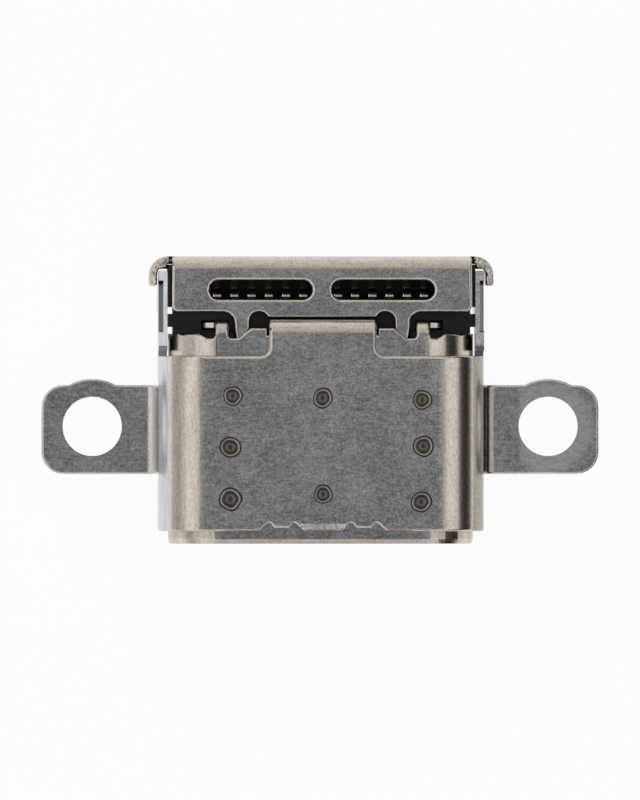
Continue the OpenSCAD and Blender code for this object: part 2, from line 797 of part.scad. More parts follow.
// A thin steel pad on the root, turned down over its front step, drawn for the top
module ground_pad() {
    color(steel_colour) {
        block([-blade_side, root_front - pad_t, root_t / 2], [blade_side, cavity_d, root_t / 2 + pad_t]);
        block([-blade_side, root_front - pad_t, blade_z], [blade_side, root_front, root_t / 2 + pad_t]);
    }
}

module upper_ground_pad() {
    ground_pad();
}

module lower_ground_pad() {
    mirror([0, 0, 1]) ground_pad();
}

// ---- Housing ---------------------------------------------------------------------------

// The room for the contact blocks and the mid plate
module block_room() {
    block([-root_w / 2, cavity_d - cut, -root_t / 2], [root_w / 2, tube_l, root_t / 2]);
    block([-blade_side, tube_l - cut, 0], [blade_side, upper_block_rear + cut, blade_z]);
    block([-blade_side, tube_l - cut, -blade_z], [blade_side, lower_block_rear, cut]);
}

// The open room over the upper tails, and a slot in the floor for each tail and foot
module tail_room() {
    block([-tail_room_w / 2, upper_block_rear, floor_top],
          [tail_room_w / 2, housing_rear - cover_t, cover_top]);
    for (i = [0 : contacts - 1]) {
        block([tail_x(i) - tail_w / 2, tail_y - 1.6 * contact_t, board_z - cut],
              [tail_x(i) + tail_w / 2, tail_y + foot_l, floor_top + cut]);
        block([contact_x(i) - tail_w / 2, lower_block_rear, board_z - cut],
              [contact_x(i) + tail_w / 2, lower_block_rear + foot_l, -contact_z]);
    }
}

// The slots that the tube's two tab legs drop into
module tab_slots() {
    both_sides([tab_in - fit_gap, tab_rear - tube_t - fit_gap, tab_foot_z - fit_gap],
               [tab_out + tab_wing_w + fit_gap, tab_rear + fit_gap, cover_top]);
}

// The bevel along the top rear edge that clears the inside of the rear cover's bend
module cover_bend_room() {
    bevel = cover_bend_r - cover_t;
    along_x(-wall_in, wall_in) polygon([
        [housing_rear - bevel, cover_under], [housing_rear, cover_under - bevel],
        [housing_rear + cut, cover_under - bevel], [housing_rear + cut, cover_under + cut],
        [housing_rear - bevel, cover_under + cut]
    ]);
}

// The gaps down the housing's sides, one behind the tube and one under the plate's corner
module side_pockets() {
    pocket_in = housing_side - side_pocket_d;
    rear_pocket = cover_front - cover_corner_r / 3;
    both_sides([pocket_in, tube_l - cut, board_z - cut], [wall_out, tube_l + front_pocket_l, cover_top]);
    both_sides([pocket_in, rear_pocket, board_z - cut], [wall_out, rear_pocket + rear_pocket_l, cover_top]);
}

module housing() {
    color(plastic_colour) difference() {
        union() {
            along_y(cavity_d, tube_l + lap) round_slot(mouth_w - 2 * fit_gap, mouth_h - 2 * fit_gap);
            block([-housing_side, tube_l, housing_bottom], [housing_side, housing_rear, cover_under]);
        }
        both_sides([front_leg_in - fit_gap, cavity_d - cut, cover_under],
                   [front_leg_out + fit_gap, tube_l + cut, tube_top]);
        cover_bend_room();
        block_room();
        tail_room();
        tab_slots();
        side_pockets();
    }
}

// ---- Assembly --------------------------------------------------------------------------

inner_shell();
outer_bracket();
rear_cover();
housing();
tongue_frame();
upper_contact_block();
lower_contact_block();
mid_plate();
upper_ground_pad();
lower_ground_pad();
for (i = [1 : contacts]) {
    upper_contact(i - 1);
    lower_contact(i - 1);
}
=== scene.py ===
"""Dresses a USB-C socket with a screw-down outer bracket.

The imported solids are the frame. The three steel stampings are copied, their sheared edges are
rounded, and the spot welds are set into the bracket as discs of worked steel. Every other
node keeps its solid and gets its finish. Sizes are in millimetres until a mesh is made.
"""

from __future__ import annotations

import logging
import math
from dataclasses import dataclass, field
from enum import Enum
from functools import cached_property

import bmesh
import bpy
import numpy as np
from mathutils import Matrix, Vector

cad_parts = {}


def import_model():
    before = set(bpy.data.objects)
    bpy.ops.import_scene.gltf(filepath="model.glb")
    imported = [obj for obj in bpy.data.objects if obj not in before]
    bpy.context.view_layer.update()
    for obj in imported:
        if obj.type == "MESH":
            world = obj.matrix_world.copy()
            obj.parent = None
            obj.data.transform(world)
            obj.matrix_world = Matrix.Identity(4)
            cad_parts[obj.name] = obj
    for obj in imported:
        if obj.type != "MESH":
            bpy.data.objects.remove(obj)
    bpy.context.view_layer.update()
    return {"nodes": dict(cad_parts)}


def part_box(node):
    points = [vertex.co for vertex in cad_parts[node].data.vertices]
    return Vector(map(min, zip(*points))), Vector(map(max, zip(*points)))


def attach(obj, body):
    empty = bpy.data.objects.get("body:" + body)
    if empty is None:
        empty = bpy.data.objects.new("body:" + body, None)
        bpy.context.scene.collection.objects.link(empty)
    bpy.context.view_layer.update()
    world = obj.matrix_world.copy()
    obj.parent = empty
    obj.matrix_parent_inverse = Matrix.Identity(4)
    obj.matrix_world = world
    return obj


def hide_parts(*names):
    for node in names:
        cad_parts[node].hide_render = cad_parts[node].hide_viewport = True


LOG = logging.getLogger("usb_c_socket")
MM = 0.001
BODY = "root"
FLOOR_GAP_MM = 0.02

# Points closer than this are one point, and faces that turn by less than this are one face.
MERGE_MM = 0.0001
MERGE_DEG = 0.3

# A point that lies this near a cut lies on it, in metres.
EXACT_M = 1e-9

# Most values of a noise lie in the first range, and nearly all of them in the second.
CORE = (0.35, 0.65)
BROAD = (0.3, 0.7)

Socket = bpy.types.NodeSocket
Value = float | tuple[float, ...] | Socket
Colour = tuple[float, float, float]

# A band with soft borders: it rises from the first number to the second, and falls from the
# third to the fourth.
Band = tuple[float, float, float, float]


# ---- Small helpers ----


class Slot(Enum):
    """The record's material slots that the pieces take their finish from."""

    TUBE_STEEL = "tube_steel"
    BRACKET_STEEL = "bracket_steel"
    COVER_STEEL = "cover_steel"
    INNER_STEEL = "inner_steel"
    BLACK_PLASTIC = "black_plastic"
    CONTACT_GOLD = "contact_gold"


def node_box(name: str) -> tuple[np.ndarray, np.ndarray]:
    """Gives a node's lowest and highest corner, in millimetres."""
    low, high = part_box(name)
    return np.array(low) / MM, np.array(high) / MM


def smooth_step(x: np.ndarray, start: float, end: float) -> np.ndarray:
    """Rises from 0 at start to 1 at end, as 3 t squared less 2 t cubed."""
    t = np.clip((x - start) / (end - start), 0.0, 1.0)
    return t * t * (3.0 - 2.0 * t)


def inside(x: np.ndarray, start: float, end: float) -> np.ndarray:
    """Falls from 1 at start to 0 at end, as smoothly as smooth_step rises."""
    return 1.0 - smooth_step(x, start, end)


# ---- Node graphs ----


class Graph:
    """A node tree that is built with short calls, most of which give an output socket."""

    def __init__(self, tree: bpy.types.NodeTree) -> None:
        """Takes a tree to build in, and empties it."""
        self.tree = tree
        tree.nodes.clear()

    def node(
        self, kind: str, inputs: dict[str | int, Value] | None = None, **settings: object
    ) -> bpy.types.Node:
        """Adds one node.

        Args:
            kind: The node's type name.
            inputs: Values or sockets for its inputs, by name or index.
            **settings: The node's own settings.

        Returns:
            The new node.
        """
        made = self.tree.nodes.new(kind)
        for key, value in settings.items():
            setattr(made, key, value)
        for key, value in (inputs or {}).items():
            self.feed(made.inputs[key], value)
        return made

    def feed(self, target: Socket, value: Value) -> None:
        """Links a socket to an input, or writes a constant on it.

        Args:
            target: The input.
            value: A socket or a constant.
        """
        if isinstance(value, Socket):
            self.tree.links.new(value, target)
        elif isinstance(value, tuple) and target.type == "RGBA":
            target.default_value = (*value, 1.0)
        else:
            target.default_value = value

    def math(self, operation: str, a: Value, b: Value = 0.0, c: Value = 0.0) -> Socket:
        """Adds a Math node and gives its result."""
        return self.node("ShaderNodeMath", {0: a, 1: b, 2: c}, operation=operation).outputs[0]

    @cached_property
    def place(self) -> Socket:
        """The place on the object, in millimetres."""
        coordinates = self.node("ShaderNodeTexCoord").outputs["Object"]
        return self.scaled(coordinates, (1 / MM, 1 / MM, 1 / MM))

    def at(self, name: str) -> Socket:
        """Gives the place along one axis, X, Y or Z."""
        return self.axis(self.place, name)

    def aside(self) -> Socket:
        """Gives |X|, the distance to either side of the middle plane."""
        return self.math("ABSOLUTE", self.at("X"))

    def facing(self, name: str) -> Socket:
        """Gives one axis, X, Y or Z, of the direction that the surface faces."""
        return self.axis(self.node("ShaderNodeNewGeometry").outputs["Normal"], name)

    def scaled(self, vector: Socket, factors: tuple[float, float, float]) -> Socket:
        """Multiplies a vector by one factor for each axis."""
        made = self.node("ShaderNodeVectorMath", {0: vector, 1: factors}, operation="MULTIPLY")
        return made.outputs[0]

    def axis(self, vector: Socket, name: str) -> Socket:
        """Gives one axis, X, Y or Z, of a vector."""
        return self.node("ShaderNodeSeparateXYZ", {0: vector}).outputs[name]

    def noise(
        self, vector: Socket, scale: float, detail: float = 3.0, roughness: float = 0.6
    ) -> Socket:
        """Adds fractal noise with so many waves to a millimetre, and gives its value from 0 to 1."""
        made = self.node(
            "ShaderNodeTexNoise",
            {"Vector": vector, "Scale": scale, "Detail": detail, "Roughness": roughness},
        )
        return made.outputs["Fac"]

    def span(
        self, value: Value, low: float, high: float, out_low: float = 0.0, out_high: float = 1.0
    ) -> Socket:
        """Maps low to out_low and high to out_high on a smooth curve, and clamps beyond them."""
        made = self.node(
            "ShaderNodeMapRange",
            {"Value": value, "From Min": low, "From Max": high, "To Min": out_low, "To Max": out_high},
            interpolation_type="SMOOTHSTEP",
        )
        return made.outputs[0]

    def band(self, value: Socket, band: Band) -> Socket:
        """Gives 1 inside a band and 0 outside it."""
        rise, fall = self.span(value, band[0], band[1]), self.span(value, band[3], band[2])
        return self.math("MULTIPLY", rise, fall)

    def clamped(self, value: Socket, low: float, high: float) -> Socket:
        """Keeps a value between two limits."""
        return self.node("ShaderNodeClamp", {"Value": value, "Min": low, "Max": high}).outputs[0]

    def blend(self, factor: Value, a: Value, b: Value) -> Socket:
        """Mixes two numbers."""
        return self.node("ShaderNodeMix", {"Factor": factor, 2: a, 3: b}).outputs[0]

    def mix(self, factor: Value, a: Value, b: Value) -> Socket:
        """Mixes two colours."""
        made = self.node("ShaderNodeMix", {"Factor": factor, 6: a, 7: b}, data_type="RGBA")
        return made.outputs[2]

    def shaded(self, colour: Value, shade: Socket) -> Socket:
        """Multiplies a colour by a shade."""
        made = self.node("ShaderNodeVectorMath", {0: colour, "Scale": shade}, operation="SCALE")
        return made.outputs[0]

    def bump(self, height: Socket, depth_mm: float) -> Socket:
        """Turns a height into a normal, where a height of 1 stands for the given depth."""
        inputs = {"Height": height, "Distance": depth_mm * MM, "Strength": 1.0}
        return self.node("ShaderNodeBump", inputs).outputs[0]

    def either(self, factor: Socket, first: Socket, second: Socket) -> Socket:
        """Mixes two shaders: the first at a factor of 0, and the second at 1."""
        return self.node("ShaderNodeMixShader", {0: factor, 1: first, 2: second}).outputs[0]

    def surface(self, shader: Socket) -> None:
        """Ends a material's tree with its shader."""
        self.node("ShaderNodeOutputMaterial", {"Surface": shader})

    def coat(
        self, colour: Value, metal: float, roughness: Value, normal: Socket, specular: float = 0.5
    ) -> None:
        """Ends a material's tree with the usual shader for solid matter."""
        inputs = {
            "Base Color": colour,
            "Metallic": metal,
            "Specular IOR Level": specular,
            "Roughness": roughness,
            "Normal": normal,
        }
        self.surface(self.node("ShaderNodeBsdfPrincipled", inputs).outputs[0])


# ---- Finishes ----


@dataclass(frozen=True)
class Finish:
    """What a surface is made of.

    In every finish, g is the graph to build in, and grain is the sheet's rolled grain.

    Attributes:
        name: The material's name.
    """

    name: str

    def material(self) -> bpy.types.Material:
        """Makes the material, with the nodes that paint builds."""
        made = bpy.data.materials.new(self.name)
        made.use_nodes = True
        self.paint(Graph(made.node_tree))
        return made

    def paint(self, g: Graph) -> None:
        """Builds the material's nodes, as each kind of finish does in its own way."""
        raise NotImplementedError


@dataclass(frozen=True)
class Steel(Finish):
    """Cold-rolled stainless sheet: even grain, and a painted warm sheen on bends, walls and sheared
    edges.

    Attributes:
        flat: Colour of the rolled flats.
        painted_sheen: Colour painted where the surface turns from level, for the warm reflection there.
        roughness: Roughness of the flats and of the bends.
        grain_mm: Size of the grain.
        grain_depth_mm: Depth of the grain.
        speckled: How much of the grain is even speckle. The rest is lines along X.
        drawn: How long and how wide the lines are, against the speckle.
        mottle: How much the grain varies the flats' brightness.
        patches: How much soft patches and clouds vary it.
        streaks: How much the drag lines along a bend vary its brightness.
        specks: How much of that variation is specks.
        wear: How much the grain varies the roughness.
        level: The normal's |Z| where the sheet counts as flat, and where it takes the whole sheen.
        ragged: How much the grain and the drag lines move that border.
    """

    flat: Colour = (0.56, 0.56, 0.565)
    painted_sheen: Colour = (0.64, 0.575, 0.51)
    roughness: tuple[float, float] = (0.27, 0.24)
    grain_mm: float = 0.06
    grain_depth_mm: float = 0.0012
    speckled: float = 0.65
    drawn: tuple[float, float] = (4.4, 0.625)
    mottle: float = 0.52
    patches: float = 0.24
    streaks: float = 0.50
    specks: float = 0.25
    wear: float = 0.16
    level: tuple[float, float] = (0.9985, 0.991)
    ragged: float = 0.024

    def paint(self, g: Graph) -> None:
        """Builds the material's nodes."""
        grain = self.grain(g)
        painted_sheen = self.painted_sheen_part(g, grain)
        # The colour where the surface turns from level is painted sheen. Its drag lines are grain.
        colour = g.mix(painted_sheen, self.flat_colour(g, grain), self.painted_sheen_colour(g))
        worn = g.math("MULTIPLY", g.math("SUBTRACT", grain, 0.5), self.wear)
        rough = g.math("ADD", g.span(painted_sheen, 0.0, 1.0, *self.roughness), worn)
        g.coat(self.marks_and_painted_light(g, colour), 1.0, rough, g.bump(self.relief(g, grain), 1.0))

    def relief(self, g: Graph, grain: Socket) -> Socket:
        """Gives the height of the surface's fine relief, in millimetres."""
        return g.math("MULTIPLY", grain, self.grain_depth_mm)

    def grain(self, g: Graph) -> Socket:
        """Gives the rolled grain, between 0 and 1."""
        length, width = self.drawn
        speckle = g.noise(g.place, 1 / self.grain_mm, 2.0)
        lines = g.noise(g.scaled(g.place, (1 / length, 1 / width, 1.0)), 1 / self.grain_mm, 2.0)
        lines = g.math("MULTIPLY", lines, 1.0 - self.speckled)
        return g.math("MULTIPLY_ADD", speckle, self.speckled, lines)

    def painted_sheen_part(self, g: Graph, grain: Socket) -> Socket:
        """Gives 0 on level flats and 1 where the surface turns from them and takes the painted sheen.
        """
        level = g.math("ABSOLUTE", g.facing("Z"))
        drag = g.noise(g.scaled(g.place, (1.0, 0.5, 1.0)), 8.0)
        drag = g.math("MULTIPLY", drag, self.ragged * 2 / 3)
        rough = g.math("MULTIPLY_ADD", grain, self.ragged / 3, drag)
        border = g.math("ADD", level, g.math("SUBTRACT", rough, self.ragged / 2))
        return g.span(border, *self.level)

    def flat_colour(self, g: Graph, grain: Socket) -> Socket:
        """Gives the flats' colour, which grain, soft patches and clouds make lighter or darker."""
        speckle = g.span(grain, *CORE, -self.mottle / 2, self.mottle / 2)
        patch = g.span(g.noise(g.scaled(g.place, (0.8, 1.0, 1.0)), 7.0), *CORE)
        cloud = g.span(g.noise(g.place, 0.8, 2.0, 0.5), *BROAD)
        varied = g.math("MULTIPLY", g.math("ADD", patch, cloud), self.patches)
        shade = g.math("ADD", g.math("ADD", speckle, varied), 1.0 - self.patches)
        return g.shaded(self.flat, shade)

    def painted_sheen_colour(self, g: Graph) -> Socket:
        """Gives the painted sheen's colour, with drag lines along each bend's own axis and specks."""
        turned = g.math("ABSOLUTE", g.facing("X"))
        along_y = g.noise(g.scaled(g.place, (1.0, 0.12, 0.3)), 9.0, 4.0, 0.7)
        along_x = g.noise(g.scaled(g.place, (0.12, 1.0, 0.3)), 9.0, 4.0, 0.7)
        lines = g.blend(g.span(turned, 0.02, 0.1), along_x, along_y)
        specks = g.span(g.noise(g.scaled(g.place, (1.0, 0.5, 1.0)), 20.0, 2.0), *CORE)
        specks = g.math("MULTIPLY", specks, self.specks)
        lines = g.math("MULTIPLY_ADD", lines, 1.0 - self.specks, specks)
        shade = g.math("MULTIPLY_ADD", lines, self.streaks * 2, 1.0 - self.streaks)
        return g.shaded(self.painted_sheen, shade)

    def marks_and_painted_light(self, g: Graph, colour: Socket) -> Socket:
        """Gives the colour with the piece's wear, marks and painted light and shade. Plain sheet has
        none.
        """
        return colour


@dataclass(frozen=True)
class BracketSteel(Steel):
    """The bracket's steel, which is worn, worked and painted with light and shade from place to place.

    The right ear is rubbed bright by a screw's head. The left wall is painted light as a
    reflection, the right wall and a strip of the left shoulder are painted darker as shade, and
    the walls' coined strips are painted black as shadow.

    Attributes:
        hole: Centre of the right ear's hole.
        rubbed_r: Radius of the rubbed zone round the hole.
        rubbed_soft: Width of its soft border.
        rubbed_ragged: How much clouds move that border.
        rubbed_x: The X between which it sets in, beside the bend.
        rubbed: Colour of the rubbed steel.
        rubbed_share: How far the zone takes that colour.
        painted_shadow_x: Band of |X| of the coined strips, which are painted black as shadow.
        painted_shadow_y: Band of Y of the coined strips.
        painted_shadow_z: The heights between which the painted shadow sets in.
        wall: Inner and outer |X| of the side walls.
        wall_from: Where the walls' own tops start, behind the shoulders.
        front: Start and end of the rolled front edge between the stubs, as Y, and half its width.
        front_soft: How far its ends run out to either side.
        slope: Slope of the wall tops and of the rolled edge.
        painted_wall_sheen: Colour of the left wall, painted light as a reflection.
        painted_wall_sheen_x: Band of X of the left wall.
        painted_wall_sheen_drag: Darkest and lightest drag lines on it.
        darker_tone: Bands of X of the painted shade on a strip of the left shoulder and on the
            right wall, each with how light it is against the flats.
        ears_x: The |X| between which the ears' shade sets in.
        ear_shade: How light the ears are, against the flats.
    """

    hole: tuple[float, float] = (6.61, 3.39)
    rubbed_r: float = 1.5
    rubbed_soft: float = 0.35
    rubbed_ragged: float = 0.5
    rubbed_x: tuple[float, float] = (5.7, 5.85)
    rubbed: Colour = (0.95, 0.93, 0.90)
    rubbed_share: float = 0.55
    painted_shadow_x: Band = (4.57, 4.59, 4.78, 4.80)
    painted_shadow_y: Band = (6.10, 6.14, 7.59, 7.63)
    painted_shadow_z: tuple[float, float] = (0.40, 0.44)
    wall: tuple[float, float] = (4.46, 4.71)
    wall_from: float = 5.72
    front: tuple[float, float, float] = (0.34, 0.58, 0.62)
    front_soft: float = 0.03
    slope: float = 0.34
    painted_wall_sheen: Colour = (0.68, 0.67, 0.69)
    painted_wall_sheen_x: Band = (-4.95, -4.85, -4.46, -4.30)
    painted_wall_sheen_drag: tuple[float, float] = (0.82, 1.04)
    darker_tone: tuple[tuple[Band, float], ...] = (
        ((-4.42, -4.34, -4.02, -3.92), 0.82),
        ((4.32, 4.40, 4.95, 5.05), 0.60),
    )
    ears_x: tuple[float, float] = (5.0, 5.1)
    ear_shade: float = 0.92

    def relief(self, g: Graph, grain: Socket) -> Socket:
        """Adds the outward slope of the wall tops and the roll of the front edge to the grain."""
        x = g.aside()
        y = g.at("Y")
        over = g.math("SUBTRACT", g.clamped(x, *self.wall), self.wall[0])
        walls = g.math("MULTIPLY", over, g.math("GREATER_THAN", y, self.wall_from))
        start, end, half = self.front
        rolled = g.math("SUBTRACT", end, g.clamped(y, start, end))
        between = g.span(x, half + self.front_soft, half - self.front_soft)
        down = g.math("MULTIPLY_ADD", rolled, between, walls)
        return g.math("MULTIPLY_ADD", grain, self.grain_depth_mm, g.math("MULTIPLY", down, -self.slope))

    def across(self, g: Graph) -> Socket:
        """Gives lightness against plain flats: painted shade on the strip and right wall, and the ears.
        """
        shade = g.span(g.aside(), *self.ears_x, 1.0, self.ear_shade)
        # The shoulder strip and the right wall are darkened as painted shade.
        for band, light in self.darker_tone:
            here = g.math("MULTIPLY_ADD", g.band(g.at("X"), band), light - 1.0, 1.0)
            shade = g.math("MULTIPLY", shade, here)
        return shade

    def rubbed_part(self, g: Graph) -> Socket:
        """Gives 1 in the rubbed zone round the right ear's hole, and 0 outside it."""
        x = g.at("X")
        away_x = g.math("SUBTRACT", x, self.hole[0])
        away_y = g.math("SUBTRACT", g.at("Y"), self.hole[1])
        squares = g.math("ADD", g.math("POWER", away_x, 2.0), g.math("POWER", away_y, 2.0))
        cloud = g.math("SUBTRACT", g.noise(g.place, 3.0), 0.5)
        away = g.math("MULTIPLY_ADD", cloud, self.rubbed_ragged, g.math("SQRT", squares))
        near = g.span(away, self.rubbed_r, self.rubbed_r - self.rubbed_soft)
        return g.math("MULTIPLY", near, g.span(x, *self.rubbed_x))

    def painted_shadow_part(self, g: Graph) -> Socket:
        """Gives 1 on the coined strips, where a black shadow is painted, and 0 elsewhere."""
        strip = g.band(g.aside(), self.painted_shadow_x)
        strip = g.math("MULTIPLY", strip, g.band(g.at("Y"), self.painted_shadow_y))
        return g.math("MULTIPLY", strip, g.span(g.at("Z"), *self.painted_shadow_z))

    def marks_and_painted_light(self, g: Graph, colour: Socket) -> Socket:
        """Gives the steel's colour with its painted shade, painted sheen, rubbed zone and painted
        shadow.
        """
        colour = g.shaded(colour, self.across(g))
        # The left wall is painted light as a reflection, with drag lines in it.
        drag = g.noise(g.scaled(g.place, (1.0, 0.15, 1.0)), 12.0, 3.0, 0.7)
        painted_wall_sheen = g.shaded(self.painted_wall_sheen, g.span(drag, *BROAD, *self.painted_wall_sheen_drag))
        colour = g.mix(g.band(g.at("X"), self.painted_wall_sheen_x), colour, painted_wall_sheen)
        rubbed = g.math("MULTIPLY", self.rubbed_part(g), self.rubbed_share)
        colour = g.mix(rubbed, colour, self.rubbed)
        # The coined strips are painted black, as shadow.
        return g.mix(self.painted_shadow_part(g), colour, (0.0, 0.0, 0.0))


@dataclass(frozen=True)
class CoverSteel(Steel):
    """The rear cover's steel: painted sheen on its hooks, whose tops are dented from the bending.

    Attributes:
        hooks_x: The |X| between which the hooks start.
        hooks_z: The heights between which the dents set in.
        dent_mm: Size of the dents.
        dent_depth_mm: Depth of the dents, if the noise used its whole range.
        blotches: How light the darkest and the lightest blotches of the hooks' sheen are.
    """

    hooks_x: tuple[float, float] = (4.38, 4.41)
    hooks_z: tuple[float, float] = (0.74, 0.78)
    dent_mm: float = 0.22
    dent_depth_mm: float = 0.12
    blotches: tuple[float, float] = (0.82, 1.12)

    def relief(self, g: Graph, grain: Socket) -> Socket:
        """Adds the hooks' dents to the grain."""
        hooks = g.span(g.aside(), *self.hooks_x, 0.0, self.dent_depth_mm)
        hooks = g.math("MULTIPLY", hooks, g.span(g.at("Z"), *self.hooks_z))
        dents = g.math("MULTIPLY", g.noise(g.place, 1 / self.dent_mm, 1.0, 0.5), hooks)
        return g.math("MULTIPLY_ADD", grain, self.grain_depth_mm, dents)

    def marks_and_painted_light(self, g: Graph, colour: Socket) -> Socket:
        """Gives the steel's colour, with a blotched painted sheen on the hooks."""
        hooks = g.span(g.aside(), *self.hooks_x)
        blotches = g.span(g.noise(g.place, 5.0), *CORE, *self.blotches)
        # The hooks take the painted sheen's colour, for the reflection on their tops.
        return g.mix(hooks, colour, g.shaded(self.painted_sheen, blotches))


@dataclass(frozen=True)
class TubeSteel(Steel):
    """The tube's steel, darker in a band behind the mouth's lip.

    Attributes:
        darker_tone_y: Band of Y of the darker steel.
        darker_tone: How light it is, against the flats.
    """

    darker_tone_y: Band = (0.13, 0.17, 0.38, 0.42)
    darker_tone: float = 0.83

    def marks_and_painted_light(self, g: Graph, colour: Socket) -> Socket:
        """Gives the steel's colour, darker in the band behind the lip."""
        band = g.band(g.at("Y"), self.darker_tone_y)
        return g.shaded(colour, g.math("MULTIPLY_ADD", band, self.darker_tone - 1.0, 1.0))


@dataclass(frozen=True)
class WeldSteel(Steel):
    """The bracket's steel where a spot weld scorched it, after two values on the mesh.

    Attributes:
        scorch_and_shade: Name of the attribute that says how dark the steel is, by burn and painted
            shade.
        heat: Name of the attribute that says how far the brown heat tint has gone.
        tint: Colour of the heat tint.
        soot: Colour of scorched steel, and of the painted shade in the groove and the pit.
    """

    scorch_and_shade: str = "scorch_and_shade"
    heat: str = "heat"
    tint: Colour = (0.30, 0.26, 0.19)
    soot: Colour = (0.035, 0.032, 0.028)

    def marks_and_painted_light(self, g: Graph, colour: Socket) -> Socket:
        """Gives the steel's colour under the heat tint, and darkened by burn and painted shade."""
        heat = g.node("ShaderNodeAttribute", attribute_name=self.heat).outputs["Fac"]
        scorch_and_shade = g.node("ShaderNodeAttribute", attribute_name=self.scorch_and_shade).outputs["Fac"]
        ragged = g.math("MULTIPLY", heat, g.span(g.noise(g.place, 7.0), *BROAD))
        return g.mix(scorch_and_shade, g.mix(ragged, colour, self.tint), self.soot)


@dataclass(frozen=True)
class Plastic(Finish):
    """Black moulded plastic with a fine spark-eroded surface.

    Attributes:
        colour: Its colour.
        roughness: Its roughness.
        uneven: How much that varies.
        specular: Strength of its reflections.
        grain_depth_mm: Depth of the grain.
    """

    colour: Colour = (0.007, 0.007, 0.0075)
    roughness: float = 0.55
    uneven: float = 0.25
    specular: float = 0.25
    grain_depth_mm: float = 0.004

    def paint(self, g: Graph) -> None:
        """Builds the material's nodes."""
        grain = g.noise(g.place, 22.0, 4.0)
        rough = g.math("MULTIPLY_ADD", grain, self.uneven, self.roughness - self.uneven / 2)
        g.coat(self.colour, 0.0, rough, g.bump(grain, self.grain_depth_mm), self.specular)


@dataclass(frozen=True)
class Plating(Finish):
    """Plated copper alloy, as on contacts: soft gold, duller where it isn't rubbed.

    Attributes:
        colour: Its colour.
        darker_tone: Its colour where the plating is thin.
        tail_highlight: Its colour on the tails: a painted highlight.
        tail_shade: Colour of the painted shade on the tails' level faces.
        tails: The distances from the mouth between which the tails start.
        level: The normal's Z between which a face counts as level.
        roughness: Its roughness.
        uneven: How much that varies.
        grain_depth_mm: Depth of its fine grain.
    """

    colour: Colour = (0.86, 0.63, 0.28)
    darker_tone: Colour = (0.42, 0.28, 0.13)
    tail_highlight: Colour = (0.95, 0.94, 0.92)
    tail_shade: Colour = (0.05, 0.04, 0.03)
    tails: tuple[float, float] = (6.5, 6.55)
    level: tuple[float, float] = (0.99, 0.999)
    roughness: float = 0.24
    uneven: float = 0.2
    grain_depth_mm: float = 0.0006

    def paint(self, g: Graph) -> None:
        """Builds the material's nodes."""
        cloud = g.noise(g.place, 6.0)
        colour = g.mix(g.span(cloud, 0.45, 0.75), self.colour, self.darker_tone)
        rough = g.math("MULTIPLY_ADD", cloud, self.uneven, self.roughness - self.uneven / 2)
        relief = g.bump(g.noise(g.place, 30.0, 2.0, 0.5), self.grain_depth_mm)
        g.coat(self.tail_light_and_shade(g, colour), 1.0, rough, relief)

    def tail_light_and_shade(self, g: Graph, colour: Socket) -> Socket:
        """Gives the colour with a painted highlight on the tails, and painted shade on their level
        faces.
        """
        # The tails are painted bright as a highlight, and dark on their level faces as shade.
        tail_highlight = g.mix(g.span(g.facing("Z"), *self.level), self.tail_highlight, self.tail_shade)
        return g.mix(g.span(g.at("Y"), *self.tails), colour, tail_highlight)


@dataclass(frozen=True)
class Paper(Finish):
    """White paper that keeps soft shadows, and is clear from below.

    Attributes:
        white: How light it is.
        glow: How far it glows for the camera and in reflections, so that it stays even.
    """

    white: float = 0.92
    glow: float = 0.94

    def paint(self, g: Graph) -> None:
        """Builds the material's nodes."""
        path = g.node("ShaderNodeLightPath").outputs
        seen = g.math("MAXIMUM", path["Is Camera Ray"], path["Is Glossy Ray"])
        seen = g.math("MAXIMUM", seen, path["Is Transmission Ray"])
        matt = g.node("ShaderNodeBsdfDiffuse", {"Color": (self.white, self.white, self.white)})
        glow = g.node("ShaderNodeEmission", {"Color": (1.0, 1.0, 1.0), "Strength": 1.0})
        above = g.either(g.math("MULTIPLY", seen, self.glow), matt.outputs[0], glow.outputs[0])
        below = g.node("ShaderNodeNewGeometry").outputs["Backfacing"]
        clear = g.node("ShaderNodeBsdfTransparent").outputs[0]
        g.surface(g.either(below, above, clear))


# ---- Meshes ----


def link(name: str, mesh: bpy.types.Mesh) -> bpy.types.Object:
    """Makes an object of a mesh that is already in place, and puts it in the scene."""
    made = bpy.data.objects.new(name, mesh)
    bpy.context.scene.collection.objects.link(made)
    return made


def merged_copy(node: bpy.types.Object, name: str) -> bpy.types.Object:
    """Copies a node's solid under a new name, and joins its loose triangles into whole faces."""
    mesh = node.data.copy()
    mesh.name = name
    mesh.materials.clear()
    if "custom_normal" in mesh.attributes:
        mesh.attributes.remove(mesh.attributes["custom_normal"])
    bm = bmesh.new()
    bm.from_mesh(mesh)
    bmesh.ops.remove_doubles(bm, verts=bm.verts, dist=MERGE_MM * MM)
    flat = math.radians(MERGE_DEG)
    bmesh.ops.dissolve_limit(bm, angle_limit=flat, verts=bm.verts, edges=bm.edges)
    bm.to_mesh(mesh)
    bm.free()
    return link(name, mesh)


def applied(piece: bpy.types.Object) -> None:
    """Puts the result of a piece's modifiers into its mesh, and removes them."""
    graph = bpy.context.evaluated_depsgraph_get()
    mesh = bpy.data.meshes.new_from_object(piece.evaluated_get(graph))
    piece.modifiers.clear()
    piece.data = mesh


def reach(face: bmesh.types.BMFace, edge: bmesh.types.BMEdge) -> float:
    """Gives how far a face reaches from one of its edges, square to it, in the mesh's units."""
    start = edge.verts[0].co
    inward = face.normal.cross((edge.verts[1].co - start).normalized())
    return max(abs((vertex.co - start).dot(inward)) for vertex in face.verts)


